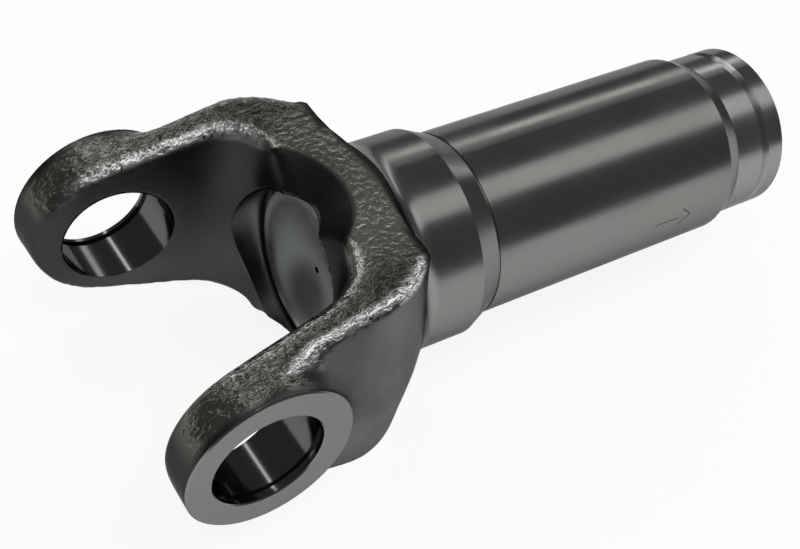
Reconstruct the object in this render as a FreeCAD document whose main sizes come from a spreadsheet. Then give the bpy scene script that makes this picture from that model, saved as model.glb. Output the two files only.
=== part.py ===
import FreeCAD, Part
import math
import os
import Sketcher

# Forged sliding yoke for a propeller shaft, in millimetres.
# Frame: the origin is where the axis of the cross bores meets the shank axis, +X runs along the
# shank away from the ears, +Y along the cross bores, +Z is up. The yoke lies on its side.

doc = FreeCAD.newDocument("forged_yoke")
V = FreeCAD.Vector

# Driving dimensions
SIZES = [
    # ears and cross bores
    ("cap_bore_radius", 13.495, "bearing cap bore, 1 1/16 in across"),
    ("bore_break", 0.3, "edge break at the mouths of the cross bores"),
    ("ear_span", 87.48, "over the machined faces of both ears"),
    ("ear_radius", 20.35, "round end of each ear"),
    ("ear_centre_x", 0.5, "ear forging centre, ahead of the bore axis"),
    ("ear_edge_break", 0.35, "edge break round the machined faces"),
    ("ear_face_land", 0.2, "straight wall between an ear face's edge break and its foot"),
    ("boss_foot_radius", 3.0, "concave foot where an ear face stands off the flank"),
    ("boss_foot_slope", 45.0, "slope on which that foot runs out over the arm"),
    ("boss_foot_reach", 8.0, "how far the foot runs out from the round end"),
    ("clip_face_inset", 2.86, "from an ear face to the inner wall of its retaining ring groove"),
    ("clip_groove_width", 1.6, "retaining ring groove"),
    ("clip_groove_depth", 0.85, "retaining ring groove"),
    # arms and saddle
    ("boss_height", 2.54, "how far an ear face stands off the flank at the parting plane"),
    ("ear_thickness", 15.04, "from an ear face to the throat at the bore axis"),
    ("saddle_depth", 55.9, "thickness of the saddle across the parting plane"),
    ("arm_rise_angle", 13.5, "slope of an arm's edge in side view"),
    ("die_reach", 32.0, "half height over which the die draft is laid"),
    ("flank_draft", 4.6, "draft of the flanks over the die reach"),
    ("throat_draft", 3.0, "draft of the throat over the die reach"),
    ("arm_root_radius", 25.0, "where an arm's edge levels out over the saddle"),
    ("turning_stock", 0.15, "forged metal outside the turned back's fillet"),
    ("shoulder_radius", 22.2, "shoulder in plan"),
    ("shoulder_angle", 45.0, "turn of the shoulder in plan"),
    ("throat_taper", 7.4, "taper of each inner face along the shank"),
    ("throat_floor_x", 29.0, "from the bore axis to the throat's floor"),
    ("throat_corner_radius", 11.0, "corner of the throat in plan"),
    ("scoop_centre_x", 20.8, "centre of the scoop in the saddle"),
    ("scoop_neck_radius", 12.3, "narrow end of the scoop"),
    ("scoop_mouth_radius", 19.7, "scoop where it meets the saddle's edge"),
    ("scoop_depth", 6.0, "height of the scoop's flare below the saddle's edge"),
    ("inner_edge_bevel", 1.5, "forged edge beside the throat"),
    ("outer_edge_bevel", 1.0, "forged edge beside the flanks"),
    # shank
    ("back_face_x", 46.4, "turned back of the saddle"),
    ("back_fillet_radius", 8.6, "fillet from the back into the collar"),
    ("collar_radius", 26.42, "turned collar"),
    ("collar_end_x", 67.02, "end of the collar"),
    ("collar_cone_angle", 24.0, "slope from the collar down to the barrel"),
    ("barrel_radius", 23.53, "ground barrel"),
    ("barrel_relief_width", 0.5, "fine relief at the start of the barrel"),
    ("barrel_relief_depth", 0.25, "fine relief at the start of the barrel"),
    ("barrel_end_x", 147.9, "end of the ground barrel"),
    ("step_end_x", 152.35, "end of the slope behind the barrel"),
    ("pilot_radius", 21.55, "reduced end"),
    ("ring_groove_x", 160.73, "near wall of the groove in the reduced end"),
    ("ring_groove_width", 2.47, "groove in the reduced end"),
    ("ring_groove_flat", 0.5, "flat at the bottom of that groove"),
    ("ring_groove_depth", 1.3, "groove in the reduced end"),
    ("shank_end_x", 169.0, "end face of the shank"),
    ("end_chamfer", 1.0, "chamfer at the end face"),
    # inside
    ("plug_seat_radius", 22.2, "counterbore for the plug"),
    ("plug_seat_x", 38.2, "shoulder that the plug sits against"),
    ("relief_radius", 19.0, "clearance bore behind the plug"),
    ("spline_start_x", 70.0, "start of the splined length"),
    ("spline_end_x", 150.0, "end of the splined length"),
    ("spline_major_radius", 17.46, "bottom of the spline's spaces"),
    ("spline_minor_radius", 16.2, "top of the spline's teeth"),
    ("spline_teeth", 32, "number of teeth"),
    ("spline_space_root", 0.56, "share of the pitch that a space takes at its mouth"),
    ("spline_space_tip", 0.34, "share of the pitch that a space takes at its bottom"),
    ("pilot_bore_radius", 18.2, "smooth bore at the shank's end"),
    ("bore_lead_angle", 30.0, "lead-in cones inside the shank"),
    ("mouth_chamfer", 0.8, "chamfer of the smooth bore"),
    # plug
    ("plug_flange_thickness", 1.5, "flange that seats in the counterbore"),
    ("plug_rim_radius", 20.9, "raised rim of the plug"),
    ("plug_rim_height", 2.1, "raised rim over the flange"),
    ("plug_rim_bevel", 0.6, "edge of the rim"),
    ("plug_dish_radius", 19.6, "edge of the dished middle"),
    ("plug_dish_depth", 2.7, "depth of the dished middle"),
    ("plug_floor_radius", 9.0, "flat floor of the dish"),
    ("plug_wall", 1.5, "sheet thickness of the plug"),
    ("plug_vent_radius", 0.85, "vent hole in the middle of the plug"),
]

sheet = doc.addObject("Spreadsheet::Sheet", "dims")
for row, (alias, value, note) in enumerate(SIZES, start=1):
    sheet.set("A%d" % row, alias)
    sheet.set("B%d" % row, str(value))
    sheet.set("C%d" % row, note)
    sheet.setAlias("B%d" % row, alias)
doc.recompute()


class Size:
    """A value together with the expression that gives it from the sheet."""

    def __init__(self, value, text):
        self.value = float(value)
        self.text = text

    def _with(self, other, value, sign, swap=False):
        other = size(other)
        a, b = (other.text, self.text) if swap else (self.text, other.text)
        return Size(value, "(%s %s %s)" % (a, sign, b))

    def __add__(self, other):
        return self._with(other, self.value + size(other).value, "+")

    def __radd__(self, other):
        return self._with(other, size(other).value + self.value, "+", True)

    def __sub__(self, other):
        return self._with(other, self.value - size(other).value, "-")

    def __rsub__(self, other):
        return self._with(other, size(other).value - self.value, "-", True)

    def __mul__(self, other):
        return self._with(other, self.value * size(other).value, "*")

    def __rmul__(self, other):
        return self._with(other, size(other).value * self.value, "*", True)

    def __truediv__(self, other):
        return self._with(other, self.value / size(other).value, "/")

    def __neg__(self):
        return Size(-self.value, "(0 - %s)" % self.text)


def size(number):
    return number if isinstance(number, Size) else Size(number, repr(float(number)))


def sine(a):
    return Size(math.sin(math.radians(a.value)), "sin(%s * 1deg)" % a.text)


def cosine(a):
    return Size(math.cos(math.radians(a.value)), "cos(%s * 1deg)" % a.text)


def tangent(a):
    return Size(math.tan(math.radians(a.value)), "tan(%s * 1deg)" % a.text)


d = {alias: Size(float(value), "dims.%s" % alias) for alias, value, note in SIZES}


# Sketch helpers
def plane_of(body, role):
    return [f for f in body.Origin.OriginFeatures if f.Role == role][0]


def new_sketch(body, name, role, lift=None, shift=None):
    sk = body.newObject("Sketcher::SketchObject", name)
    sk.AttachmentSupport = [(plane_of(body, role), "")]
    sk.MapMode = "FlatFace"
    if lift is not None:
        sk.setExpression("AttachmentOffset.Base.z", lift.text)
    if shift is not None:
        sk.setExpression("AttachmentOffset.Base.x", shift.text)
    return sk


def pin(sk, geo, end, x, y):
    """Holds one point of the sketch at the given place."""
    for kind, value in (("DistanceX", size(x)), ("DistanceY", size(y))):
        n = sk.addConstraint(Sketcher.Constraint(kind, geo, end, value.value))
        sk.setExpression("Constraints[%d]" % n, value.text)


def outline(sk, points, arcs=None):
    """Closed outline through the points. arcs[i] bends side i: its radius, and whether its
    centre lies on the left of the side."""
    arcs = arcs or {}
    count = len(points)
    flat = [V(size(x).value, size(y).value, 0) for x, y in points]
    sides = []
    for i in range(count):
        a, b = flat[i], flat[(i + 1) % count]
        if i in arcs:
            r, left = arcs[i]
            chord = b - a
            half = chord.Length / 2.0
            rise = r.value - math.sqrt(max(r.value ** 2 - half ** 2, 0.0))
            normal = V(-chord.y, chord.x, 0).normalize()
            middle = (a + b) * 0.5 + normal * (-rise if left else rise)
            ends = (a, middle, b) if left else (b, middle, a)
            geo = sk.addGeometry(Part.Arc(*ends), False)
            sides.append((geo, 1, 2) if left else (geo, 2, 1))
            n = sk.addConstraint(Sketcher.Constraint("Radius", geo, r.value))
            sk.setExpression("Constraints[%d]" % n, r.text)
        else:
            geo = sk.addGeometry(Part.LineSegment(a, b), False)
            sides.append((geo, 1, 2))
    for i in range(count):
        here, after = sides[i], sides[(i + 1) % count]
        sk.addConstraint(Sketcher.Constraint("Coincident", here[0], here[2], after[0], after[1]))
        pin(sk, here[0], here[1], points[i][0], points[i][1])


def turned(body, name, kind, role, axis, groups, shift=None):
    """A full turn of closed outlines about an axis of their own sketch."""
    sk = new_sketch(body, name + "_profile", role, shift=shift)
    for points, arcs in groups:
        outline(sk, points, arcs)
    feature = body.newObject(kind, name)
    feature.Profile = sk
    feature.ReferenceAxis = (sk, [axis])
    feature.Angle = 360.0
    return feature


def new_body(label):
    body = doc.addObject("PartDesign::Body", label)
    body.Label = label
    body.Placement = FreeCAD.Placement()
    return body


def must_change(body, before, less, what):
    """Every cut takes metal away and every addition brings some."""
    after = body.Shape.Volume
    if (after >= before - 1e-3) if less else (after <= before + 1e-3):
        raise RuntimeError(what + " did not change the solid")
    return after


# Derived places
half_span = d["ear_span"] / 2
half_flank = half_span - d["boss_height"]
half_saddle = d["saddle_depth"] / 2
rise = d["arm_rise_angle"]
turn = d["shoulder_angle"]
# where the sloping edge of an arm leaves the round ear, and where it levels out
slope_x = d["ear_centre_x"] - d["ear_radius"] * sine(rise)
slope_z = d["ear_radius"] * cosine(rise)
corner_x = slope_x + (half_saddle - slope_z) / tangent(rise)
level_run = d["arm_root_radius"] * tangent(rise / 2)
level_start_x = corner_x - level_run * cosine(rise)
level_start_z = half_saddle - level_run * sine(rise)
level_end_x = corner_x + level_run
# the turned fillet, and its point where it runs at the shoulder's angle
fillet_x = d["back_face_x"] + d["back_fillet_radius"]
fillet_r = d["collar_radius"] + d["back_fillet_radius"]
run_x = fillet_x - (d["back_fillet_radius"] - d["turning_stock"]) * sine(turn)
run_y = fillet_r - (d["back_fillet_radius"] - d["turning_stock"]) * cosine(turn)
# the shoulder's straight run ends at that point, so the flank's length follows from it
flank_end_x = (run_x - d["shoulder_radius"] * sine(turn)
               - (half_flank - d["shoulder_radius"] * (1 - cosine(turn)) - run_y) / tangent(turn))
# corner of the throat in plan at the parting plane
throat_centre_x = d["throat_floor_x"] - d["throat_corner_radius"]
# far ends of the cutting outlines, clear of the forging
beyond = 1.5 * d["ear_radius"]
tail_x = fillet_x + d["back_fillet_radius"] / 2
clear = half_span + half_saddle


def band_height(x):
    """Half height of the forging in side view at x, along its edge."""
    if x < slope_x.value:
        drop = d["ear_radius"].value ** 2 - (x - d["ear_centre_x"].value) ** 2
        return math.sqrt(max(drop, 0.0))
    if x < level_start_x.value:
        return slope_z.value + (x - slope_x.value) * math.tan(math.radians(rise.value))
    if x < level_end_x.value:
        fall = d["arm_root_radius"].value ** 2 - (level_end_x.value - x) ** 2
        return half_saddle.value - d["arm_root_radius"].value + math.sqrt(fall)
    return half_saddle.value


# The yoke's forged clevis
yoke = new_body("forged_yoke")

# plan outline, widest at the parting plane and drawn in above and below it
plans = []
for name, lift, draft in (("plan_low", -d["die_reach"], d["flank_draft"]),
                          ("plan_middle", None, size(0)),
                          ("plan_high", d["die_reach"], d["flank_draft"])):
    sk = new_sketch(yoke, name, "XY_Plane", lift)
    radius = d["shoulder_radius"]
    wide = half_flank - draft
    bend_x = flank_end_x + radius * sine(turn)
    bend_y = wide - radius * (1 - cosine(turn))
    tail_y = bend_y - (run_x - bend_x) * tangent(turn)
    outline(sk, [(-beyond, -wide), (flank_end_x, -wide), (bend_x, -bend_y),
                 (run_x, -tail_y), (tail_x, -tail_y), (tail_x, tail_y), (run_x, tail_y),
                 (bend_x, bend_y), (flank_end_x, wide), (-beyond, wide)],
            {1: (radius, True), 7: (radius, True)})
    plans.append(sk)
doc.recompute()
envelope = yoke.newObject("PartDesign::AdditiveLoft", "envelope")
envelope.Profile = plans[0]
envelope.Sections = [plans[1], plans[2]]
envelope.Ruled = True
doc.recompute()
volume = must_change(yoke, 0.0, False, "the plan loft")

# machined ear faces, each on a boss whose concave foot runs out over the arm in short cones
foot_y = half_span - d["ear_edge_break"] - d["ear_face_land"]
steps = 3
foot = [(d["ear_radius"] + d["boss_foot_radius"] * (1 - cosine((90 - d["boss_foot_slope"]) * k / steps)),
         foot_y - d["boss_foot_radius"] * sine((90 - d["boss_foot_slope"]) * k / steps))
        for k in range(steps, -1, -1)]
skirt_r = d["ear_radius"] + d["boss_foot_reach"]
skirt_y = foot[0][1] - (skirt_r - foot[0][0]) * tangent(d["boss_foot_slope"])
root_y = skirt_y - d["boss_foot_radius"]
boss = [(size(0), root_y), (skirt_r, root_y), (skirt_r, skirt_y)] + foot + [
    (d["ear_radius"], half_span - d["ear_edge_break"]),
    (d["ear_radius"] - d["ear_edge_break"], half_span), (size(0), half_span)]
bosses = [([(r, side * y) for r, y in boss], None) for side in (1, -1)]
turned(yoke, "ear_faces", "PartDesign::Revolution", "XY_Plane", "V_Axis", bosses,
       d["ear_centre_x"])
doc.recompute()
volume = must_change(yoke, volume, False, "the ear faces")

# side view of the forging: round ears, rising arms, level saddle
sk = new_sketch(yoke, "side_view", "XZ_Plane")
far_x = tail_x + d["ear_radius"]
outline(sk, [(-beyond - half_saddle, -clear), (far_x + half_saddle, -clear),
             (far_x + half_saddle, clear), (-beyond - half_saddle, clear)])
outline(sk, [(slope_x, -slope_z), (level_start_x, -level_start_z), (level_end_x, -half_saddle),
             (far_x, -half_saddle), (far_x, half_saddle), (level_end_x, half_saddle),
             (level_start_x, level_start_z), (slope_x, slope_z),
             (d["ear_centre_x"] - d["ear_radius"], size(0))],
        {1: (d["arm_root_radius"], True), 5: (d["arm_root_radius"], True),
         7: (d["ear_radius"], True), 8: (d["ear_radius"], True)})
side_cut = yoke.newObject("PartDesign::Pocket", "side_cut")
side_cut.Profile = sk
side_cut.Type = "ThroughAll"
side_cut.SideType = "Symmetric"
doc.recompute()
volume = must_change(yoke, volume, True, "the side view")

# throat between the ears: tapered inner faces that open above and below the parting plane
throats = []
taper = d["throat_taper"]
for name, lift, draft in (("throat_low", -d["die_reach"], d["throat_draft"]),
                          ("throat_middle", None, size(0)),
                          ("throat_high", d["die_reach"], d["throat_draft"])):
    sk = new_sketch(yoke, name, "XY_Plane", lift)
    corner = d["throat_corner_radius"] + draft
    floor_x = d["throat_floor_x"] + draft
    gap = half_span - d["ear_thickness"] + draft / cosine(taper)
    centre_y = gap - throat_centre_x * tangent(taper) - corner / cosine(taper)
    touch_x = throat_centre_x + corner * sine(taper)
    touch_y = centre_y + corner * cosine(taper)
    mouth_y = gap + beyond * tangent(taper)
    outline(sk, [(-beyond, -mouth_y), (touch_x, -touch_y), (floor_x, -centre_y),
                 (floor_x, centre_y), (touch_x, touch_y), (-beyond, mouth_y)],
            {1: (corner, True), 3: (corner, True)})
    throats.append(sk)
doc.recompute()
throat = yoke.newObject("PartDesign::SubtractiveLoft", "throat")
throat.Profile = throats[0]
throat.Sections = [throats[1], throats[2]]
throat.Ruled = False
doc.recompute()
volume = must_change(yoke, volume, True, "the throat")


def band_edges(inner):
    """Edges of the forging's edge band, beside the throat or beside the flanks."""
    found = []
    middle = (d["throat_corner_radius"].value + d["shoulder_radius"].value) / 2 + 2
    for number, edge in enumerate(yoke.Shape.Edges, start=1):
        first, last = edge.ParameterRange
        spots = [edge.valueAt(first + (last - first) * k / 8.0) for k in range(9)]
        if max(abs(abs(p.z) - band_height(p.x)) for p in spots) > 1e-3:
            continue
        if (max(p.x for p in spots) > d["back_face_x"].value + 1e-3
                or min(p.x for p in spots) > d["back_face_x"].value - 1e-3):
            continue
        away = [math.hypot(max(p.x - throat_centre_x.value, 0.0),
                           max(abs(p.y) - centre_y.value, 0.0)) for p in spots]
        if (max(away) < middle) if inner else (min(away) > middle):
            found.append(number)
    return found


def bevelled(name, width, edges):
    base = yoke.Tip
    feature = yoke.newObject("PartDesign::Chamfer", name)
    feature.Base = (base, ["Edge%d" % n for n in edges])
    feature.setExpression("Size", width.text)
    doc.recompute()
    return feature


# Shank: collar, cone, ground barrel, slope, reduced end with its groove, end chamfer
cone_drop = d["collar_radius"] - d["barrel_radius"]
cone_x = d["collar_end_x"] + cone_drop / tangent(d["collar_cone_angle"])
relief_x = cone_x + d["barrel_relief_width"]
relief_r = d["barrel_radius"] - d["barrel_relief_depth"]
groove_r = d["pilot_radius"] - d["ring_groove_depth"]
groove_end_x = d["ring_groove_x"] + d["ring_groove_width"]
shank = [(run_x, size(0)), (d["shank_end_x"], size(0)),
         (d["shank_end_x"], d["pilot_radius"] - d["end_chamfer"]),
         (d["shank_end_x"] - d["end_chamfer"], d["pilot_radius"]),
         (groove_end_x, d["pilot_radius"]),
         (d["ring_groove_x"] + d["ring_groove_flat"], groove_r),
         (d["ring_groove_x"], groove_r),
         (d["ring_groove_x"], d["pilot_radius"]),
         (d["step_end_x"], d["pilot_radius"]),
         (d["barrel_end_x"], d["barrel_radius"]),
         (relief_x, d["barrel_radius"]), (relief_x, relief_r), (cone_x, relief_r),
         (cone_x, d["barrel_radius"]), (d["collar_end_x"], d["collar_radius"]),
         (run_x, d["collar_radius"])]
turned(yoke, "shank", "PartDesign::Revolution", "XZ_Plane", "H_Axis", [(shank, None)])
doc.recompute()
volume = must_change(yoke, volume, False, "the shank")

# turned back of the saddle: a square face and a fillet down to the collar, cut in short cones
steps = 5
bend = [(fillet_x - d["back_fillet_radius"] * sine(size(90 - 90 * k / steps)),
         fillet_r - d["back_fillet_radius"] * cosine(size(90 - 90 * k / steps)))
        for k in range(steps + 1)]
turned(yoke, "turned_back", "PartDesign::Groove", "XZ_Plane", "H_Axis",
       [([(d["back_face_x"], clear)] + bend
         + [(tail_x + d["back_fillet_radius"] / 4, d["collar_radius"]),
            (tail_x + d["back_fillet_radius"] / 4, clear)], None)])
doc.recompute()
volume = must_change(yoke, volume, True, "the turned back")

# forged edges of the band
bevelled("inner_edges", d["inner_edge_bevel"], band_edges(True))
volume = must_change(yoke, volume, True, "the inner edges")
outer = [n for n in band_edges(False)
         if yoke.Shape.Edges[n - 1].BoundBox.XMin > d["boss_foot_radius"].value]
bevelled("outer_edges", d["outer_edge_bevel"], outer)
volume = must_change(yoke, volume, True, "the outer edges")

# scoops above and below, so that the seal of the joint clears the saddle
scoops = []
flare = d["scoop_mouth_radius"] - d["scoop_neck_radius"]
for side in (1, -1):
    scoops.append(([(size(0), side * d["scoop_neck_radius"]),
                    (d["scoop_neck_radius"], side * d["scoop_neck_radius"]),
                    (d["scoop_neck_radius"], side * (half_saddle - d["scoop_depth"])),
                    (d["scoop_mouth_radius"] + flare, side * (half_saddle + d["scoop_depth"])),
                    (size(0), side * (half_saddle + d["scoop_depth"]))], None))
turned(yoke, "scoops", "PartDesign::Groove", "XZ_Plane", "V_Axis", scoops, d["scoop_centre_x"])
doc.recompute()
volume = must_change(yoke, volume, True, "the scoops")

# bores along the shank: plug counterbore, clearance, splined length, smooth bore
lead = tangent(d["bore_lead_angle"])
stack = [(throat_centre_x - d["throat_corner_radius"], size(0)),
         (throat_centre_x - d["throat_corner_radius"], d["plug_seat_radius"]),
         (d["plug_seat_x"], d["plug_seat_radius"]),
         (d["plug_seat_x"], d["relief_radius"]),
         (d["spline_start_x"] - (d["relief_radius"] - d["spline_minor_radius"]) / lead,
          d["relief_radius"]),
         (d["spline_start_x"], d["spline_minor_radius"]),
         (d["spline_end_x"], d["spline_minor_radius"]),
         (d["spline_end_x"] + (d["pilot_bore_radius"] - d["spline_minor_radius"]) / lead,
          d["pilot_bore_radius"]),
         (d["shank_end_x"] - d["mouth_chamfer"], d["pilot_bore_radius"]),
         (d["shank_end_x"] + d["mouth_chamfer"], d["pilot_bore_radius"] + 2 * d["mouth_chamfer"]),
         (d["shank_end_x"] + d["mouth_chamfer"], size(0))]
turned(yoke, "shank_bores", "PartDesign::Groove", "XZ_Plane", "H_Axis", [(stack, None)])
doc.recompute()
volume = must_change(yoke, volume, True, "the shank bores")

# cross bores with their retaining ring grooves
half_clip = half_span - d["clip_face_inset"]
cap_r = d["cap_bore_radius"]
clip_r = cap_r + d["clip_groove_depth"]
half_bore = [(cap_r + 2 * d["bore_break"], half_span + d["bore_break"]),
             (cap_r, half_span - d["bore_break"]),
             (cap_r, half_clip + d["clip_groove_width"]), (clip_r, half_clip + d["clip_groove_width"]),
             (clip_r, half_clip), (cap_r, half_clip)]
cross = ([(size(0), half_span + d["bore_break"])] + half_bore
         + [(x, -y) for x, y in reversed(half_bore)] + [(size(0), -half_span - d["bore_break"])])
turned(yoke, "cross_bores", "PartDesign::Groove", "XY_Plane", "V_Axis", [(cross, None)])
doc.recompute()
volume = must_change(yoke, volume, True, "the cross bores")

# internal spline: one space between teeth, repeated round the shank axis
tooth_height = d["spline_major_radius"] - d["spline_minor_radius"]
pitch = 2 * math.pi * d["spline_minor_radius"] / d["spline_teeth"]
mouth_half = pitch * d["spline_space_root"] / 2
bottom_half = pitch * d["spline_space_tip"] / 2
start_r = d["spline_minor_radius"] - tooth_height / 2
start_half = mouth_half + (mouth_half - bottom_half) / 2
sk = new_sketch(yoke, "spline_space", "YZ_Plane", d["spline_end_x"] + d["spline_minor_radius"])
outline(sk, [(start_r, -start_half), (d["spline_major_radius"], -bottom_half),
             (d["spline_major_radius"], bottom_half), (start_r, start_half)])
first_space = yoke.newObject("PartDesign::Pocket", "first_space")
first_space.Profile = sk
first_space.Type = "Length"
first_space.setExpression("Length", (d["spline_end_x"] - d["spline_start_x"]
                                     + 1.5 * d["spline_minor_radius"]).text)
doc.recompute()
volume = must_change(yoke, volume, True, "the first spline space")
spline = yoke.newObject("PartDesign::PolarPattern", "spline")
spline.Originals = [first_space]
spline.Axis = (plane_of(yoke, "X_Axis"), [""])
spline.Angle = 360.0
spline.setExpression("Occurrences", d["spline_teeth"].text)
yoke.Tip = spline
doc.recompute()
volume = must_change(yoke, volume, True, "the spline")

# Expansion plug: pressed sheet with a raised rim, a dished middle and a vent hole
plug = new_body("expansion_plug")
flange_x = d["plug_seat_x"] - d["plug_flange_thickness"]
rim_x = flange_x - d["plug_rim_height"]
dish_x = rim_x + d["plug_dish_depth"]
inner_rim_r = d["plug_rim_radius"] - d["plug_wall"]
floor_r = d["plug_floor_radius"]
sheet_profile = [(dish_x, d["plug_vent_radius"]), (dish_x + d["plug_wall"], d["plug_vent_radius"]),
                 (dish_x + d["plug_wall"], floor_r), (rim_x + d["plug_wall"], inner_rim_r),
                 (d["plug_seat_x"], inner_rim_r), (d["plug_seat_x"], d["plug_seat_radius"]),
                 (flange_x, d["plug_seat_radius"]), (flange_x, d["plug_rim_radius"]),
                 (rim_x + d["plug_rim_bevel"], d["plug_rim_radius"]),
                 (rim_x, d["plug_rim_radius"] - d["plug_rim_bevel"]),
                 (rim_x, d["plug_dish_radius"]), (dish_x, floor_r)]
turned(plug, "pressing", "PartDesign::Revolution", "XZ_Plane", "H_Axis", [(sheet_profile, None)])
doc.recompute()
must_change(plug, 0.0, False, "the plug")

# Everything is looked over before anything is written
for item in doc.Objects:
    if "Invalid" in item.State or "Error" in item.State:
        raise RuntimeError("%s is in state %s" % (item.Name, item.State))
for body in (yoke, plug):
    if body.Shape.isNull() or not body.Shape.isValid() or len(body.Shape.Solids) != 1:
        raise RuntimeError(body.Label + " is not one valid solid")

os.makedirs("parts", exist_ok=True)
for body in (yoke, plug):
    body.Shape.exportStep("parts/%s.step" % body.Label)
    print(body.Label, round(body.Shape.Volume, 1), body.Shape.BoundBox)
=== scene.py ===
import math

import bmesh
import bpy
import numpy as np
from mathutils import Matrix, Vector


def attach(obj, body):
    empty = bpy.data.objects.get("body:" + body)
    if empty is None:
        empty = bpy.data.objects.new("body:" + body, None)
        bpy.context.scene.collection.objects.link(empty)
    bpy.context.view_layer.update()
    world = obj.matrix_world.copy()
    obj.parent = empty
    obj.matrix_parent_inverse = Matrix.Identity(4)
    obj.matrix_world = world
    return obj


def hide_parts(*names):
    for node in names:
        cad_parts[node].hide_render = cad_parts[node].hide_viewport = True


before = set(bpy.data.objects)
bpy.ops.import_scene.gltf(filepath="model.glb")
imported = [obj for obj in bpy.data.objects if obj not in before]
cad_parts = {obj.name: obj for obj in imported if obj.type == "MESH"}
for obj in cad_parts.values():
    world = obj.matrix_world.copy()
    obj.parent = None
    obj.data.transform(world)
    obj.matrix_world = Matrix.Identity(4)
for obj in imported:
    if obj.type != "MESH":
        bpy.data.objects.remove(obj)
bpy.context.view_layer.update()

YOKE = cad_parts["forged_yoke"]
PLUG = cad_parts["expansion_plug"]
MM = 0.001

# Places of the part that the looks follow, in millimetres in the part's own axes
EAR_FACE_Y = 43.74              # machined face of an ear
EAR_LAND = 0.55                 # strip of the ear's rim that is kept with the machined face
EAR_RADIUS = 20.35              # round end of an ear
EAR_CENTRE_X = 0.5              # centre of that round end
CAP_RADIUS = 13.495             # cross bores
BACK_X = 46.4                   # turned back of the saddle
SADDLE_Z = 27.95                # saddle's upper face
FILLET_X, FILLET_R = 55.0, 35.02  # centre of the fillet behind the saddle
FILLET = 8.6                    # radius of that fillet
SCOOP_X, SCOOP_MOUTH = 20.8, 19.7  # centre and radius of the scoop in the saddle's edge
BARREL_RADIUS = 23.53
BARREL_END_X = 147.9
GROOVE_X = (158.1, 160.85)      # groove at the end of the shank
GROOVE_R = (16.5, 21.5)         # that groove's steel, from inside to outside
SEAT_RADIUS = 22.2              # counterbore that holds the plug
# painted shade: the dark patch in the plug's dish is centred here
PLUG_SHADE_CENTRE = (37.0, 1.0, -9.0)       # centre of the dark stain in the plug's dish
FLOOR_Z = -27.97

# Camera, solved from the photograph's outline
CAMERA_RIGHT = Vector((0.83367557, -0.53213103, 0.14772138))
CAMERA_DOWN = Vector((-0.30516520, -0.66682698, -0.67986468))
CAMERA_AHEAD = Vector((0.46028170, 0.52170715, -0.71830523))
CAMERA_PLACE = Vector((-116.876, -204.152, 267.858)) * MM
FOCAL_LENGTH_PX, PICTURE_WIDTH_PX = 1563.83, 800.0
SENSOR_WIDTH = 36.0


def new_object(name, data):
    obj = bpy.data.objects.new(name, data)
    bpy.context.scene.collection.objects.link(obj)
    return obj


def dress(obj, mat):
    obj.data.materials.clear()
    obj.data.materials.append(mat)


def turned_to(x_axis, y_axis, z_axis, place):
    turn = Matrix((x_axis, y_axis, z_axis)).transposed()
    return Matrix.Translation(place) @ turn.to_4x4()


camera_data = bpy.data.cameras.new("camera")
camera = new_object("camera", camera_data)
camera.matrix_world = turned_to(CAMERA_RIGHT, -CAMERA_DOWN, -CAMERA_AHEAD, CAMERA_PLACE)
camera_data.sensor_width = SENSOR_WIDTH
camera_data.lens = FOCAL_LENGTH_PX * SENSOR_WIDTH / PICTURE_WIDTH_PX
camera_data.clip_start = 0.01
camera_data.clip_end = 50.0
bpy.context.scene.camera = camera


# Node helpers
def put(tree, kind, inputs=None, **settings):
    """A new node. Each input is linked if its value is a socket, or else set."""
    n = tree.nodes.new(kind)
    for key, value in settings.items():
        setattr(n, key, value)
    for key, value in (inputs or {}).items():
        if hasattr(value, "links"):
            tree.links.new(value, n.inputs[key])
        else:
            n.inputs[key].default_value = value
    return n


def material(name):
    m = bpy.data.materials.new(name)
    m.use_nodes = True
    m.node_tree.nodes.clear()
    return m


def rgb(red, green, blue):
    return red, green, blue, 1.0


def grey(level):
    return rgb(level, level, level)


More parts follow.
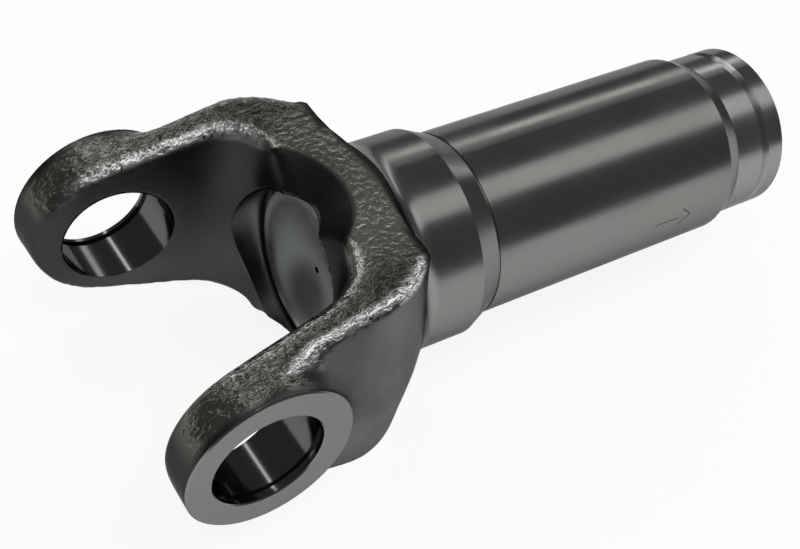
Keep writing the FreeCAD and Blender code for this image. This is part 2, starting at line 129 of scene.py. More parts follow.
class Graph:
    """Short names for the nodes of one steel. Coordinates are in millimetres."""

    def __init__(self, name):
        self.mat = material(name)
        coords = self.put("ShaderNodeTexCoord")
        self.place = self.vec("MULTIPLY", coords.outputs["Object"], (1.0 / MM,) * 3)
        self.x, self.y, self.z = self.parts(self.place)
        self.normal_x = self.parts(coords.outputs["Normal"])[0]

    def put(self, kind, inputs=None, **settings):
        return put(self.mat.node_tree, kind, inputs, **settings)

    def parts(self, vector):
        return tuple(self.put("ShaderNodeSeparateXYZ", {0: vector}).outputs)

    def join(self, x, y, z):
        return self.put("ShaderNodeCombineXYZ", {0: x, 1: y, 2: z}).outputs[0]

    def vec(self, op, a, b):
        n = self.put("ShaderNodeVectorMath", {0: a, 1: b}, operation=op)
        return n.outputs["Value" if op == "DOT_PRODUCT" else "Vector"]

    def distance(self, a, b):
        off = {0: self.vec("SUBTRACT", a, b)}
        return self.put("ShaderNodeVectorMath", off, operation="LENGTH").outputs["Value"]

    def math(self, op, a, b=None):
        inputs = {0: a} if b is None else {0: a, 1: b}
        return self.put("ShaderNodeMath", inputs, operation=op).outputs[0]

    def add(self, a, b):
        return self.math("ADD", a, b)

    def times(self, first, *others):
        for value in others:
            first = self.math("MULTIPLY", first, value)
        return first

    def size_of(self, value):
        return self.math("ABSOLUTE", value)

    def radius(self, a, b):
        return self.math("SQRT", self.add(self.math("POWER", a, 2.0), self.math("POWER", b, 2.0)))

    def ramp(self, value, low, high, to_low=0.0, to_high=1.0):
        """Smooth step from to_low at low to to_high at high; low may be the greater one."""
        inputs = {"Value": value, "From Min": low, "From Max": high,
                  "To Min": to_low, "To Max": to_high}
        n = self.put("ShaderNodeMapRange", inputs, interpolation_type="SMOOTHSTEP")
        return n.outputs["Result"]

    def noise(self, where, scale, detail=2.0, rough=0.5, distort=0.0):
        inputs = {"Vector": where, "Scale": scale, "Detail": detail,
                  "Roughness": rough, "Distortion": distort}
        return self.put("ShaderNodeTexNoise", inputs).outputs["Fac"]

    def attribute(self, name):
        return self.put("ShaderNodeAttribute", attribute_name=name).outputs["Fac"]

    def mix(self, factor, a, b):
        """Colour a where factor is 0, b where it is 1."""
        return self.put("ShaderNodeMix", {0: factor, 6: a, 7: b}, data_type="RGBA").outputs[2]

    def blend(self, factor, a, b):
        """Number a where factor is 0, b where it is 1."""
        return self.put("ShaderNodeMix", {0: factor, 2: a, 3: b}, data_type="FLOAT").outputs[0]

    def steel(self, tone, rough, height, depth, edge_tint=1.0):
        """Finish the material; depth is the height of the bumps in millimetres."""
        bump = self.put("ShaderNodeBump",
                        {"Strength": 1.0, "Distance": depth * MM, "Height": height})
        shader = self.put("ShaderNodeBsdfPrincipled",
                          {"Base Color": tone, "Roughness": rough, "Metallic": 1.0,
                           "Specular Tint": grey(edge_tint), "Normal": bump.outputs[0]})
        self.put("ShaderNodeOutputMaterial", {"Surface": shader.outputs[0]})
        return self.mat


def stroke(graph, where, a, b, width):
    """1 on a straight mark from a to b, 0 beside it."""
    a, b = Vector((*a, 0.0)), Vector((*b, 0.0))
    along = b - a
    off = graph.vec("SUBTRACT", where, a)
    share = graph.math("DIVIDE", graph.vec("DOT_PRODUCT", off, along), along.length_squared)
    share = graph.math("MINIMUM", graph.math("MAXIMUM", share, 0.0), 1.0)
    nearest = graph.vec("MULTIPLY", graph.join(share, share, share), along)
    return graph.ramp(graph.distance(off, nearest), width * 0.65, width * 0.35)


# Machined steel: ground barrel, turned collar and back, faced ears, bored holes, and a painted
# highlight in the groove at the shank's end.
# A pair of bounds gives where a ramp starts and where it is complete.
TOOL_MARKS_PER_MM, TOOL_MARK_DEPTH = 4.0, 0.0007
END_FACING = (0.6, 0.8)         # how far a face that counts as an end looks along the shaft
GROUND_ROUGH, PATCH_ROUGH = (0.215, 0.24), (-0.02, 0.04)
GROUND_TONES = rgb(0.244, 0.250, 0.236), rgb(0.254, 0.260, 0.247)
TURNED_TONE = rgb(0.32, 0.32, 0.315)
BORED_TONE, BORED_ROUGH = rgb(0.125, 0.127, 0.128), 0.14
BORED_R, BORED_Y = (14.7, 14.4), (43.6, 43.3)   # where the bores' finish sets in
# the groove's near-white colour is a painted highlight
GROOVE_PAINTED_HIGHLIGHT, GROOVE_ROUGH = rgb(0.9, 0.9, 0.9), 0.45
MARK_TONE, MARK_STRENGTH = rgb(0.02, 0.02, 0.02), 0.8
MACHINED_EDGE_TINT = 0.45
# A plain arrow on the barrel: x and arc length round the barrel from its top
ARROW = (((123.3, 36.1), (131.2, 36.3)),
         ((132.2, 33.6), (135.3, 36.4)),
         ((131.6, 38.9), (135.3, 36.4)))
ARROW_WIDTH = 0.34


def machined_steel():
    g = Graph("machined_steel")
    axis_r = g.radius(g.y, g.z)
    bore_r = g.radius(g.x, g.z)
    off_axis = g.size_of(g.y)
    on_end = g.ramp(g.size_of(g.normal_x), *END_FACING)
    on_ear = g.ramp(off_axis, EAR_FACE_Y - 0.04, EAR_FACE_Y - 0.01)
    lines = g.blend(on_ear, g.blend(on_end, g.x, axis_r), bore_r)
    marks = g.join(g.times(lines, TOOL_MARKS_PER_MM), 0.0, 0.0)
    rings = g.noise(marks, scale=1.0, detail=4.0, rough=0.7)
    patch = g.noise(g.place, scale=0.06, detail=3.0)
    bored = g.times(g.ramp(bore_r, *BORED_R), g.ramp(off_axis, *BORED_Y))
    # mask of the groove, where a highlight is painted
    in_groove_highlight = g.times(g.ramp(g.x, GROOVE_X[0], GROOVE_X[0] + 0.15),
                        g.ramp(g.x, GROOVE_X[1], GROOVE_X[1] - 0.1),
                        g.ramp(axis_r, GROOVE_R[1], GROOVE_R[1] - 0.1),
                        g.ramp(axis_r, GROOVE_R[0], GROOVE_R[0] + 1.0))
    past_barrel = g.ramp(g.x, BARREL_END_X - 0.1, BARREL_END_X + 0.1)
    before_collar = g.ramp(g.x, FILLET_X, FILLET_X - 3.0)
    turned = g.times(g.math("MAXIMUM", past_barrel, before_collar),
                     g.ramp(off_axis, EAR_FACE_Y - 16.0, EAR_FACE_Y - 17.0),
                     g.ramp(axis_r, SEAT_RADIUS - 1.2, SEAT_RADIUS - 0.8))

    rough = g.ramp(rings, 0.3, 0.7, *GROUND_ROUGH)
    rough = g.add(rough, g.ramp(patch, 0.35, 0.7, *PATCH_ROUGH))
    rough = g.blend(bored, rough, BORED_ROUGH)
    rough = g.blend(in_groove_highlight, rough, GROOVE_ROUGH)

    tone = g.mix(g.ramp(rings, 0.35, 0.65), *GROUND_TONES)
    tone = g.mix(bored, tone, BORED_TONE)
    tone = g.mix(turned, tone, TURNED_TONE)
    tone = g.mix(in_groove_highlight, tone, GROOVE_PAINTED_HIGHLIGHT)
    angle = g.math("ARCTAN2", g.times(g.y, -1.0), g.z)
    spot = g.join(g.x, g.times(angle, BARREL_RADIUS), 0.0)
    mark = 0.0
    for start, end in ARROW:
        mark = g.math("MAXIMUM", stroke(g, spot, start, end, ARROW_WIDTH), mark)
    on_barrel = g.ramp(axis_r, BARREL_RADIUS - 1.0, BARREL_RADIUS - 0.5)
    tone = g.mix(g.times(mark, on_barrel, MARK_STRENGTH), tone, MARK_TONE)
    return g.steel(tone, rough, rings, TOOL_MARK_DEPTH, MACHINED_EDGE_TINT)


# Forged skin: dark and smooth on the die's walls, with painted shade and light laid over them;
# rough and paler on the saddle and the arms, with painted light on the saddle's near half and
# painted highlights on worn edges and the counterbore's lip
ARMS_Y = (19.0, 29.0)           # from the saddle to the arms
# painted shade: the arms' inner faces darken towards the top
INNER_PAINTED_SHADE_TONES = rgb(0.100, 0.102, 0.097), rgb(0.040, 0.041, 0.038)    # low, high
INNER_Z = (-24.0, 4.0)
# painted light: the outer flanks paler towards the bottom, and one even middling tone towards the
# back
OUTER_PAINTED_LIGHT_TONES = rgb(0.225, 0.228, 0.220), rgb(0.112, 0.114, 0.108)    # low, high
OUTER_Z, OUTER_Y = (-12.0, 6.0), (30.5, 33.0)
OUTER_BACK_PAINTED_LIGHT, OUTER_BACK_X = rgb(0.190, 0.192, 0.184), (20.0, 38.0)
# painted shade: the ears' round ends darker than the rest of the smooth skin
EAR_END_PAINTED_SHADE, EAR_END_X = rgb(0.052, 0.053, 0.049), (-6.0, -16.0)
CLOUD_TONE, CLOUD_STRENGTH, CLOUD = rgb(0.075, 0.077, 0.073), 0.35, (0.3, 0.7)
# painted light: the saddle's near half is paler than its far half
SADDLE_CREST_TONES = rgb(0.30, 0.30, 0.272), rgb(0.46, 0.46, 0.418)     # far side, near side
SADDLE_PIT_TONES = rgb(0.245, 0.246, 0.220), rgb(0.37, 0.371, 0.332)
ARM_CREST_TONES = rgb(0.150, 0.151, 0.137), rgb(0.23, 0.231, 0.209)     # arm, round ear
ARM_PIT_TONES = rgb(0.100, 0.102, 0.089), rgb(0.150, 0.152, 0.132)
NEAR_Y, ROUND_EAR_X = (12.0, -12.0), (12.0, 0.0)
# worn edges' near-white colour: partly real wear, partly a painted highlight, strongest on edges
# that face the near side
WORN_AND_HIGHLIGHT_TONE, WORN_AND_HIGHLIGHT_CREST = rgb(0.97, 0.97, 0.95), (0.0, 0.45)
# painted highlight on the counterbore's mouth, on the near side only
LIP_PAINTED_HIGHLIGHT, LIP_HIGHLIGHT_Y = rgb(0.5, 0.5, 0.48), (2.0, -4.0)
SMOOTH_ROUGH, CREST_ROUGH = (0.34, 0.42), (0.30, 0.22)
SKIN_DEPTH = 0.15
SMOOTH_RELIEF, SADDLE_RELIEF, ARM_RELIEF = 0.10, 0.33, 0.9     # shares of that depth
WORM = (0.36, 0.62)             # bounds that cut the noise into pits and strokes
STRETCH, SIDE_SHIFT, BEND = 0.36, 9.0, 3.5
FORGED_EDGE_TINT = 0.5


def forged_skin():
    g = Graph("forged_skin")
    band, rounded = g.attribute("band"), g.attribute("rounded")
    off_axis = g.size_of(g.y)
    arms = g.ramp(off_axis, *ARMS_Y)

    # Strokes run along the arms and round the ears. They are stretched that way and bent a
    # little, and the side shift makes the underside's differ from the top's.
    ahead_x = g.math("SUBTRACT", g.x, EAR_CENTRE_X)
    wrap = g.math("ARCTAN2", g.math("MINIMUM", ahead_x, 0.0), g.size_of(g.z))
    run = g.add(g.times(wrap, EAR_RADIUS), g.math("MAXIMUM", ahead_x, 0.0))
    side = g.times(g.math("SIGN", g.z), SIDE_SHIFT)
    bend = g.times(g.noise(g.place, scale=0.22), BEND)
    along_arm = g.join(g.times(run, STRETCH), g.add(g.y, bend), side)
    strokes = g.ramp(g.noise(along_arm, scale=0.95, distort=0.3), *WORM)
    pits = g.ramp(g.noise(g.place, scale=0.62, distort=0.3), *WORM)
    worms = g.blend(arms, pits, strokes)
    grain = g.noise(g.place, scale=1.1, detail=3.0, rough=0.6, distort=0.3)
    cloud = g.noise(g.place, scale=0.09, detail=3.0)
    ridges = g.add(g.times(grain, 0.5), worms)
    ridges = g.times(ridges, g.blend(arms, SADDLE_RELIEF, ARM_RELIEF))
    height = g.blend(band, g.times(grain, SMOOTH_RELIEF), ridges)

    # painted light and shade on the smooth skin: outer flanks paler towards the bottom, inner
    # faces darker towards the top, ears' round ends darker
    outer_lit_tone = g.mix(g.ramp(g.z, *OUTER_Z), *OUTER_PAINTED_LIGHT_TONES)
    outer_lit_tone = g.mix(g.ramp(g.x, *OUTER_BACK_X), outer_lit_tone, OUTER_BACK_PAINTED_LIGHT)
    inner_shaded_tone = g.mix(g.ramp(g.z, *INNER_Z), *INNER_PAINTED_SHADE_TONES)
    smooth_tone = g.mix(g.ramp(off_axis, *OUTER_Y), inner_shaded_tone, outer_lit_tone)
    smooth_tone = g.mix(g.ramp(g.x, *EAR_END_X), smooth_tone, EAR_END_PAINTED_SHADE)
    smooth_tone = g.mix(g.ramp(cloud, *CLOUD, 0.0, CLOUD_STRENGTH), smooth_tone, CLOUD_TONE)

    crest = g.times(g.add(g.ramp(grain, 0.35, 0.65), worms), 0.5)
    # painted light: the saddle paler on its near half
    near_side_light = g.ramp(g.y, *NEAR_Y)
    round_ear = g.ramp(g.x, *ROUND_EAR_X)
    crest_tone = g.mix(arms, g.mix(near_side_light, *SADDLE_CREST_TONES),
                       g.mix(round_ear, *ARM_CREST_TONES))
    pit_tone = g.mix(arms, g.mix(near_side_light, *SADDLE_PIT_TONES), g.mix(round_ear, *ARM_PIT_TONES))
    rough_tone = g.mix(crest, pit_tone, crest_tone)
    # worn edges, partly painted highlight
    worn_and_highlight = g.times(rounded, g.ramp(crest, *WORN_AND_HIGHLIGHT_CREST))
    rough_tone = g.mix(worn_and_highlight, rough_tone, WORN_AND_HIGHLIGHT_TONE)

    tone = g.mix(band, smooth_tone, rough_tone)
    # painted highlight along the counterbore's near-side lip
    lip_highlight = g.times(g.ramp(g.radius(g.y, g.z), SEAT_RADIUS + 0.7, SEAT_RADIUS + 0.3),
                  g.ramp(g.y, *LIP_HIGHLIGHT_Y))
    tone = g.mix(lip_highlight, tone, LIP_PAINTED_HIGHLIGHT)
    smooth_rough = g.ramp(cloud, *CLOUD, *SMOOTH_ROUGH)
    rough = g.blend(band, smooth_rough, g.ramp(crest, 0.0, 1.0, *CREST_ROUGH))
    return g.steel(tone, rough, height, SKIN_DEPTH, FORGED_EDGE_TINT)


# Plug: satin sheet steel with painted shade in its dish and a rim painted paler as a highlight
PLUG_TONES = rgb(0.165, 0.176, 0.179), rgb(0.20, 0.212, 0.215)
PLUG_ROUGH, PLUG_GRAIN_DEPTH = (0.36, 0.44), 0.002
# painted shade in the plug's dish
PLUG_SHADE_TONE, PLUG_SHADE_R = rgb(0.045, 0.047, 0.044), (12.0, 4.0)
# painted highlight: the plug's rim paler all round
RIM_PAINTED_HIGHLIGHT, RIM_BOUNDS = rgb(0.42, 0.44, 0.44), (17.5, 19.5)


def plug_steel():
    g = Graph("plug_steel")
    grain = g.noise(g.place, scale=0.25, detail=3.0)
    fine = g.noise(g.place, scale=2.0, detail=3.0, rough=0.6)
    tone = g.mix(g.ramp(grain, 0.3, 0.7), *PLUG_TONES)
    tone = g.mix(g.ramp(g.distance(g.place, PLUG_SHADE_CENTRE), *PLUG_SHADE_R), tone, PLUG_SHADE_TONE)
    tone = g.mix(g.ramp(g.radius(g.y, g.z), *RIM_BOUNDS), tone, RIM_PAINTED_HIGHLIGHT)
    return g.steel(tone, g.ramp(grain, 0.3, 0.7, *PLUG_ROUGH), fine, PLUG_GRAIN_DEPTH)


MACHINED = machined_steel()
FORGED_SKIN = forged_skin()
PLUG_STEEL = plug_steel()
dress(YOKE, MACHINED)
dress(PLUG, PLUG_STEEL)

# Plug: one pressing with a rolled rim, a smooth dish and a vent, sizes in millimetres
RIM_X, FLANGE_X, PLUG_SEAT_X = 34.6, 36.7, 38.2
RIM_R, DISH_R, VENT_R = 20.9, 19.4, 0.85
DISH_DEPTH, SHEET, DISH_SHAPE = 2.7, 1.5, 1.25
BACK_DISH_R = DISH_R - 0.6      # the dish's edge on its back
FLANGE_ROUND, FLANGE_EDGE = 0.5, 0.15
FRONT_STEPS, BACK_STEPS, ROLL_STEPS, FLANGE_STEPS, TURNS = 28, 12, 8, 6, 128
SHARP_ANGLE = math.radians(50.0)
QUARTER_TURN = math.pi / 2


def dish_points(start_x, edge_r, steps):
    """Points on one face of the dish, from the vent out to edge_r."""
    points = []
    for k in range(steps + 1):
        r = VENT_R + (edge_r - VENT_R) * k / steps
        fall = math.cos(QUARTER_TURN * (r / DISH_R) ** DISH_SHAPE) ** 2
        points.append((start_x + DISH_DEPTH * fall, r))
    return points


def plug_profile():
    rows = dish_points(RIM_X, DISH_R, FRONT_STEPS)
    roll = (RIM_R - DISH_R) / 2
    for k in range(1, ROLL_STEPS + 1):
        a = QUARTER_TURN * k / ROLL_STEPS
        rows.append((RIM_X + roll * (1.0 - math.cos(a)), RIM_R - roll + roll * math.sin(a)))
    for k in range(FLANGE_STEPS + 1):
        a = QUARTER_TURN * k / FLANGE_STEPS
        rows.append((FLANGE_X - FLANGE_ROUND + FLANGE_ROUND * math.sin(a),
                     RIM_R + FLANGE_ROUND * (1.0 - math.cos(a))))
    rows += [(FLANGE_X, SEAT_RADIUS - FLANGE_EDGE), (FLANGE_X + FLANGE_EDGE, SEAT_RADIUS),
             (PLUG_SEAT_X, SEAT_RADIUS), (PLUG_SEAT_X, DISH_R)]
    return rows + dish_points(RIM_X + SHEET, BACK_DISH_R, BACK_STEPS)[::-1]


def lathed(name, profile, turns):
    """Closed profile of (x, radius) pairs turned about the shaft's axis."""
    rows = len(profile)
    points, faces = [], []
    for j in range(turns):
        a = 2.0 * math.pi * j / turns
        points += [(x * MM, r * MM * math.cos(a), r * MM * math.sin(a)) for x, r in profile]
    for j in range(turns):
        here, there = j * rows, (j + 1) % turns * rows
        for i in range(rows):
            k = (i + 1) % rows
            faces.append((here + i, there + i, there + k, here + k))
    mesh = bpy.data.meshes.new(name)
    mesh.from_pydata(points, [], faces)
    work = bmesh.new()
    work.from_mesh(mesh)
    bmesh.ops.recalc_face_normals(work, faces=work.faces)
    work.to_mesh(mesh)
    work.free()
    mesh.shade_smooth()
    return new_object(name, mesh)


plug_pressing = lathed("plug_pressing", plug_profile(), TURNS)
plug_pressing.data.set_sharp_from_angle(angle=SHARP_ANGLE)
dress(plug_pressing, PLUG_STEEL)
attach(plug_pressing, "root")
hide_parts("expansion_plug")


# Meshes as arrays, in millimetres
def points_of(mesh):
    co = np.empty(len(mesh.vertices) * 3, np.float32)
    mesh.vertices.foreach_get("co", co)
    return co.reshape(-1, 3).astype(float) / MM


def corners_of(mesh):
    idx = np.empty(len(mesh.loops), np.int32)
    mesh.loops.foreach_get("vertex_index", idx)
    return idx


def mesh_from(name, points, faces):
    """faces is an array with one row for each face, all with the same number of corners."""
    used, inverse = np.unique(faces, return_inverse=True)
    count, corners = faces.shape
    mesh = bpy.data.meshes.new(name)
    mesh.vertices.add(len(used))
    mesh.vertices.foreach_set("co", (points[used] * MM).astype(np.float32).ravel())
    mesh.loops.add(count * corners)
    mesh.loops.foreach_set("vertex_index", inverse.astype(np.int32).ravel())
    mesh.polygons.add(count)
    starts = np.arange(0, count * corners, corners, dtype=np.int32)
    mesh.polygons.foreach_set("loop_start", starts)
    mesh.polygons.foreach_set("loop_total", np.full(count, corners, np.int32))
    mesh.update(calc_edges=True)
    mesh.polygons.foreach_set("use_smooth", np.ones(count, bool))
    mesh.validate()
    return mesh


def lattice_noise(p, seed):
    """Smooth noise from -1 to 1 on a unit lattice."""
    cell = np.floor(p).astype(np.int64)
    f = p - cell
    f = f * f * f * (f * (f * 6.0 - 15.0) + 10.0)
    total = np.zeros(len(p))
    for corner in range(8):
        o = np.array([corner & 1, (corner >> 1) & 1, corner >> 2])
        c = cell + o
        h = c[:, 0] * 73856093 ^ c[:, 1] * 19349663 ^ c[:, 2] * 83492791 ^ seed * 2654435761
        h = h & 0xFFFFFFFF
        h = (h ^ (h >> 13)) * 1274126177 & 0xFFFFFFFF
        h = (h ^ (h >> 16)) & 0xFFFF
        w = np.prod(np.where(o == 1, f, 1.0 - f), axis=1)
        total += w * (h / 32767.5 - 1.0)
    return total


def step_up(v, low, high):
    t = np.clip((v - low) / (high - low), 0.0, 1.0)
    return t * t * (3.0 - 2.0 * t)


def step_down(v, low, high):
    return 1.0 - step_up(v, low, high)


def radii(p):
    """Distance from the shaft's axis, from the cross bores' axis and from the ears' centre."""
    x, y, z = p[..., 0], p[..., 1], p[..., 2]
    return np.hypot(y, z), np.hypot(x, z), np.hypot(x - EAR_CENTRE_X, z)


def back_radius(x):
    """Radius of the turned fillet behind the saddle."""
    t = np.clip((FILLET_X - x) / FILLET, 0.0, 1.0)
    return FILLET_R - FILLET * np.sqrt(1.0 - t * t)


def machined_mesh(source):
    """The frame's own facets of the machined surfaces, with the true fillet's normals."""
    points = points_of(source)
    triangles = corners_of(source).reshape(-1, 3)
    normals = np.empty(len(source.loops) * 3, np.float32)
    source.corner_normals.foreach_get("vector", normals)
    normals = normals.reshape(-1, 3, 3)
    p = points[triangles]
    x, off_axis = p[..., 0], np.abs(p[..., 1])
    axis_r, bore_r, _ = radii(p)
    ring = (off_axis > EAR_FACE_Y - EAR_LAND - 0.01).all(1)
    bores = ((bore_r < CAP_RADIUS + 0.9) & (off_axis > 20)).all(1)
    on_back = x < BACK_X + 0.002
    on_shank = x > FILLET_X - FILLET * 0.66
    on_fillet = axis_r > back_radius(x) - 0.2
    shank = ((x > BACK_X - 0.002) & (on_back | on_shank | on_fillet)).all(1)
    inside = (axis_r < SEAT_RADIUS + 0.01).all(1)
    keep = ring | bores | shank | inside
    mesh = mesh_from("yoke_machining", points, triangles[keep])

    within = (x > BACK_X + 0.01) & (x < FILLET_X + 0.05)
    near_fillet = np.abs(axis_r - back_radius(x)) < 0.25
    bend = ((within | (x < BACK_X + 0.01)) & near_fillet).all(1) & within.any(1)
    inward = (FILLET_R - axis_r) / FILLET
    round_off = np.stack([(FILLET_X - x) / FILLET]
                         + [inward * p[..., k] / axis_r for k in (1, 2)], -1)
    length = np.linalg.norm(round_off[bend], axis=-1, keepdims=True)
    normals[bend] = round_off[bend] / length
    mesh.normals_split_custom_set(normals[keep].reshape(-1, 3).tolist())
    return mesh


yoke_machining = new_object("yoke_machining", machined_mesh(YOKE.data))
dress(yoke_machining, MACHINED)

# Forged skin: an even mesh over the clevis, softened along its edges and roughened as forged
VOXEL = 0.42
SKIN_END_X = 50.0
FIRST_ROUNDS, ROUNDS = 4, 150
FIRST_CLEARANCE = (0.2, 0.8)    # distances from a machined border over which the first
CLEARANCE = (0.5, 2.5)          # rounds, and then the rest, come to soften the skin in full
SCOOP_INNER, SCOOP_OUTER = (-2.5, -1.0), (0.2, 2.0)     # off the mouth, where softening is held
SCOOP_EDGE_Z, SCOOP_HOLD = (25.0, 26.5), 0.9
SCOOP_BAND = (-0.3, 0.7)        # off the mouth, where the rough skin starts
FOOT_R, FOOT_Y, FOOT_X = (23.5, 27.0), (38.0, 40.5), (4.0, 12.0)    # foot of an ear's boss
FOOT_SHARE = 0.9                # how much of the rough skin the foot lacks
BAND_TILT = (0.25, 0.75)        # how far the rough skin's faces look up or down
ROUNDED_LOW, ROUNDED_HIGH = (0.07, 0.32), (0.72, 0.9)   # how far a worn edge looks sideways
# the painted highlight's share on worn edges that look away from the near side
ROUNDED_X, FAR_HIGHLIGHT_SHARE = (-14.0, -4.0), 0.35
ARM_Y = (20.0, 30.0)
ARM_STRETCH = (0.9, 0.5)        # the ripples' scale along the saddle, and its loss on the arms
WARP, WARP_SCALE = 0.35, 0.6
WORM_SCALE, SPECK_SCALE, BROAD_SCALE = 0.95, 0.8, 0.12
WORM_HEIGHT, SPECK_HEIGHT, BROAD_HEIGHT = 0.11, 0.07, 0.05
SADDLE_SHARE = 0.35             # the ripples' height on the saddle against the arms
SINK = 0.17                     # how far the rough skin lies below the solid's faces
TUCK, TUCK_REACH = 0.06, 0.35   # how far the skin dips under a machined border
FLAT_MARGIN = 0.01              # the skin stays this far inside the saddle's planes


def even_mesh(source):
    """Points and quads of a voxel mesh over source."""
    whole = bmesh.new()
    whole.from_mesh(source)
    bmesh.ops.remove_doubles(whole, verts=whole.verts, dist=1e-7)
    closed = bpy.data.meshes.new("closed")
    whole.to_mesh(closed)
    whole.free()
    worker = new_object("worker", closed)
    remesh = worker.modifiers.new("remesh", "REMESH")
    remesh.mode = "VOXEL"
    remesh.voxel_size = VOXEL * MM
    remesh.adaptivity = 0.0
    depsgraph = bpy.context.evaluated_depsgraph_get()
    even = bpy.data.meshes.new_from_object(worker.evaluated_get(depsgraph))
    bpy.data.objects.remove(worker)
    return points_of(even), corners_of(even).reshape(-1, 4)


def forged_only(points, quads):
    """Drop the quads that lie on the machined surfaces, and the points that nothing uses."""
    middle = points[quads].mean(1)
    x, off_axis = middle[:, 0], np.abs(middle[:, 1])
    axis_r, bore_r, _ = radii(middle)
    drop = (x > BACK_X - 0.05) & (axis_r > back_radius(x) - 0.1)
    drop |= (x > SKIN_END_X) | (axis_r < SEAT_RADIUS + 0.06) | (bore_r < CAP_RADIUS + 0.06)
    drop |= (off_axis > 40.0) & (bore_r < CAP_RADIUS + 1.2)
    drop |= off_axis > EAR_FACE_Y - EAR_LAND + 0.25
    used, inverse = np.unique(quads[~drop], return_inverse=True)
    return points[used], inverse.reshape(-1, 4)


def relaxed(p, edges, weight, rounds):
    count = np.bincount(edges.ravel(), minlength=len(p)).astype(float)
    start, end = edges[:, 0], edges[:, 1]
    for _ in range(rounds):
        mean = np.empty_like(p)
        for k in range(3):
            mean[:, k] = (np.bincount(start, p[end, k], len(p))
                          + np.bincount(end, p[start, k], len(p)))
        p = p + (mean / count[:, None] - p) * (0.5 * weight)[:, None]
    return p


def normals_at(p, quads):
    across = np.cross(p[quads[:, 2]] - p[quads[:, 0]], p[quads[:, 3]] - p[quads[:, 1]])
    out = np.zeros_like(p)
    for c in range(4):
        for k in range(3):
            out[:, k] += np.bincount(quads[:, c], across[:, k], len(p))
    return out / np.maximum(np.linalg.norm(out, axis=1), 1e-12)[:, None]


def clearance(p):
    """Distance to the nearest border between forged and machined surfaces."""
    axis_r, bore_r, ear_r = radii(p)
    below_face = np.maximum(EAR_FACE_Y - EAR_LAND - np.abs(p[:, 1]), 0.0)
    before_back = np.maximum(BACK_X - p[:, 0], 0.7 * (back_radius(p[:, 0]) - axis_r))
    return np.minimum.reduce([np.hypot(below_face, np.abs(ear_r - EAR_RADIUS)),
                              np.maximum(bore_r - CAP_RADIUS, 0.0),
                              np.maximum(axis_r - SEAT_RADIUS, 0.0),
                              np.maximum(before_back, 0.0)])


def relief(p, arm, band, free):
    """How far each point is lifted: winding ridges and specks on the band, slow waves all over."""
    run = p[:, 0] - EAR_CENTRE_X
    wrap = np.arctan2(np.minimum(run, 0.0), np.abs(p[:, 2]))
    run = np.maximum(run, 0.0) + EAR_RADIUS * wrap
    along = run * (ARM_STRETCH[0] - ARM_STRETCH[1] * arm)
    flow = np.stack([along, p[:, 1], p[:, 2] * 0.7 * (1.0 - arm)], 1)
    flow += WARP * np.stack([lattice_noise(p * WARP_SCALE, seed) for seed in (11, 12, 13)], 1)
    worms = 1.0 - 2.0 * np.abs(lattice_noise(flow * WORM_SCALE, 1))
    speck = lattice_noise(p * SPECK_SCALE, 2)
    broad = lattice_noise(p * BROAD_SCALE, 3)
    share = SADDLE_SHARE + (1.0 - SADDLE_SHARE) * arm
    rough = share * (WORM_HEIGHT * worms + SPECK_HEIGHT * speck)
    return band * (rough - SINK) + BROAD_HEIGHT * broad * free


def forged_mesh(source):
    points, quads = forged_only(*even_mesh(source))
    sides = [quads[:, [a, b]] for a, b in ((0, 1), (1, 2), (2, 3), (3, 0))]
    edges = np.unique(np.sort(np.concatenate(sides), axis=1), axis=0)

    free = step_up(clearance(points), *CLEARANCE)
    off_mouth = np.hypot(points[:, 0] - SCOOP_X, points[:, 1]) - SCOOP_MOUTH
    scoop_edge = step_up(off_mouth, *SCOOP_INNER) * step_down(off_mouth, *SCOOP_OUTER)
    scoop_edge = scoop_edge * step_up(np.abs(points[:, 2]), *SCOOP_EDGE_Z)
    points = relaxed(points, edges, step_up(clearance(points), *FIRST_CLEARANCE), FIRST_ROUNDS)
    points = relaxed(points, edges, free * (1.0 - SCOOP_HOLD * scoop_edge), ROUNDS)

    # band is the rough skin on the saddle and the arms; rounded marks its worn edges, which also
    # carry a painted highlight, strongest where they face the near side
    normals = normals_at(points, quads)
    x, off_axis = points[:, 0], np.abs(points[:, 1])
    tilt = np.abs(normals[:, 1])
    _, _, ear_r = radii(points)
    foot = step_down(ear_r, *FOOT_R) * step_up(off_axis, *FOOT_Y)
    band = step_up(np.abs(normals[:, 2]), *BAND_TILT) * free
    band = band * step_up(off_mouth, *SCOOP_BAND)
    band = band * (1.0 - FOOT_SHARE * foot * step_up(x, *FOOT_X))
    rounded = step_up(tilt, *ROUNDED_LOW) * step_down(tilt, *ROUNDED_HIGH) * free
    rounded = rounded * step_up(x, *ROUNDED_X) * np.where(normals[:, 1] < 0.0, 1.0, FAR_HIGHLIGHT_SHARE)
    rounded = rounded * (1.0 - foot)

    lift = relief(points, step_up(off_axis, *ARM_Y), band, free)
    points = points + normals * lift[:, None]
    points[:, 2] = np.clip(points[:, 2], FLAT_MARGIN - SADDLE_Z, SADDLE_Z - FLAT_MARGIN)
    points = points - normals * (TUCK * step_down(clearance(points), 0.0, TUCK_REACH))[:, None]

    mesh = mesh_from("yoke_forging", points, quads)
    for name, values in (("band", band), ("rounded", rounded)):
        layer = mesh.attributes.new(name, "FLOAT", "POINT")
        layer.data.foreach_set("value", values.astype(np.float32))
    return mesh


yoke_forging = new_object("yoke_forging", forged_mesh(YOKE.data))
dress(yoke_forging, FORGED_SKIN)

for piece in (yoke_machining, yoke_forging):
    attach(piece, "root")
    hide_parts("forged_yoke")

# Floor: pale to the camera, and darker close to the part in reflections
FLOOR_REACH = 9.0
FLOOR_GLOW = 0.88               # to the camera
FLOOR_REFLECTED = (0.20, 0.82)  # in reflections, from under the part to clear of it
SHADE_REACH = 22.0
OPEN_SKY = (0.1, 0.8)           # share of open sky at the two ends of those reflections
PLAIN_ALBEDO, SHADOW_ALBEDO = 0.8, 0.3      # for light that bounces, and under the glow


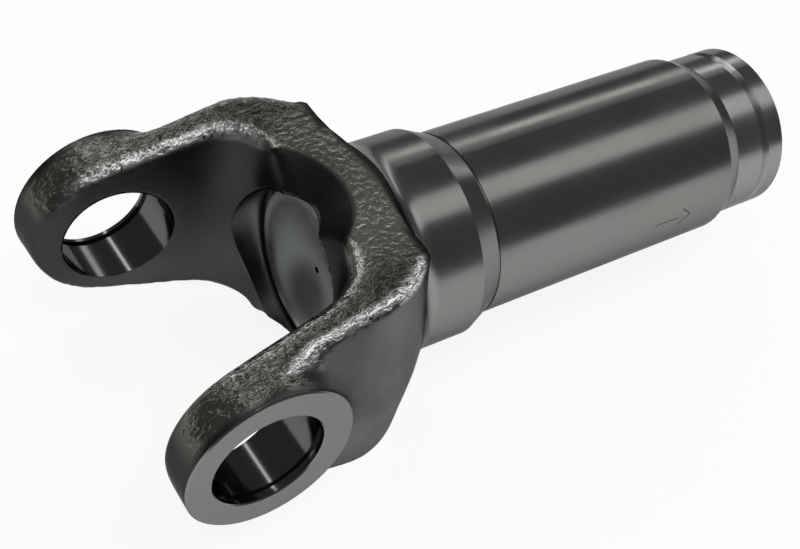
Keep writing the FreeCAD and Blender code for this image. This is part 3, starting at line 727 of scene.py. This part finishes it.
def floor_material():
    m = material("floor")
    tree = m.node_tree
    path = put(tree, "ShaderNodeLightPath").outputs
    seen = path["Is Camera Ray"]
    straight = put(tree, "ShaderNodeMath", {0: seen, 1: path["Is Glossy Ray"]},
                   operation="MAXIMUM")
    near = put(tree, "ShaderNodeAmbientOcclusion", {"Distance": SHADE_REACH * MM}, samples=6)
    reflected = put(tree, "ShaderNodeMapRange",
                    {"Value": near.outputs["AO"],
                     "From Min": OPEN_SKY[0], "From Max": OPEN_SKY[1],
                     "To Min": FLOOR_REFLECTED[0], "To Max": FLOOR_REFLECTED[1]})
    gain = put(tree, "ShaderNodeMix", {0: seen, 2: reflected.outputs["Result"], 3: FLOOR_GLOW},
               data_type="FLOAT")
    glow = put(tree, "ShaderNodeEmission", {"Strength": gain.outputs[0]})
    plain = put(tree, "ShaderNodeBsdfDiffuse", {"Color": grey(PLAIN_ALBEDO)})
    dim = put(tree, "ShaderNodeBsdfDiffuse", {"Color": grey(SHADOW_ALBEDO)})
    both = put(tree, "ShaderNodeAddShader", {0: dim.outputs[0], 1: glow.outputs[0]})
    pick = put(tree, "ShaderNodeMixShader",
               {0: straight.outputs[0], 1: plain.outputs[0], 2: both.outputs[0]})
    put(tree, "ShaderNodeOutputMaterial", {"Surface": pick.outputs[0]})
    return m


floor_mesh = bpy.data.meshes.new("floor")
corners = [(x * FLOOR_REACH, y * FLOOR_REACH, 0) for x, y in ((-1, -1), (1, -1), (1, 1), (-1, 1))]
floor_mesh.from_pydata(corners, [], [(0, 1, 2, 3)])
floor = new_object("floor", floor_mesh)
floor.location.z = FLOOR_Z * MM
dress(floor, floor_material())

# World: a dark room to the part, and the floor's white to the camera
ROOM_LEVEL, BACKDROP_LEVEL = 0.115, 0.94
world = bpy.data.worlds.new("studio")
world.use_nodes = True
bpy.context.scene.world = world
tree = world.node_tree
seen = put(tree, "ShaderNodeLightPath").outputs["Is Camera Ray"]
shade = put(tree, "ShaderNodeMix", {0: seen, 2: ROOM_LEVEL, 3: BACKDROP_LEVEL}, data_type="FLOAT")
background = tree.nodes["Background"].inputs
tree.links.new(shade.outputs[0], background["Color"])
background["Strength"].default_value = 1.0
bpy.context.scene.view_settings.view_transform = "Standard"

MIDDLE = Vector((70.0, 0.0, 0.0)) * MM
SHANK_AXIS = Vector((1.0, 0.0, 0.0))


def softbox(name, direction, width, length, radiance, distance=1.0):
    """A flat lamp that faces the part; radiance is its own brightness, 1 being white."""
    lamp = bpy.data.lights.new(name, "AREA")
    lamp.shape = "RECTANGLE"
    lamp.size = length
    lamp.size_y = width
    lamp.energy = radiance * math.pi * width * length
    toward = Vector(direction).normalized()
    x_axis = (SHANK_AXIS - toward * toward.dot(SHANK_AXIS)).normalized()
    place = MIDDLE + toward * distance
    new_object(name, lamp).matrix_world = turned_to(x_axis, toward.cross(x_axis), toward, place)


softbox("strip_over", (0.35, -0.27, 0.96), width=0.42, length=2.0, radiance=0.92)
softbox("strip_behind", (0.45, 0.85, 0.57), width=0.13, length=2.0, radiance=2.0)
softbox("strip_across", (-0.13, 0.55, 0.82), width=0.6, length=0.07, radiance=4.0)
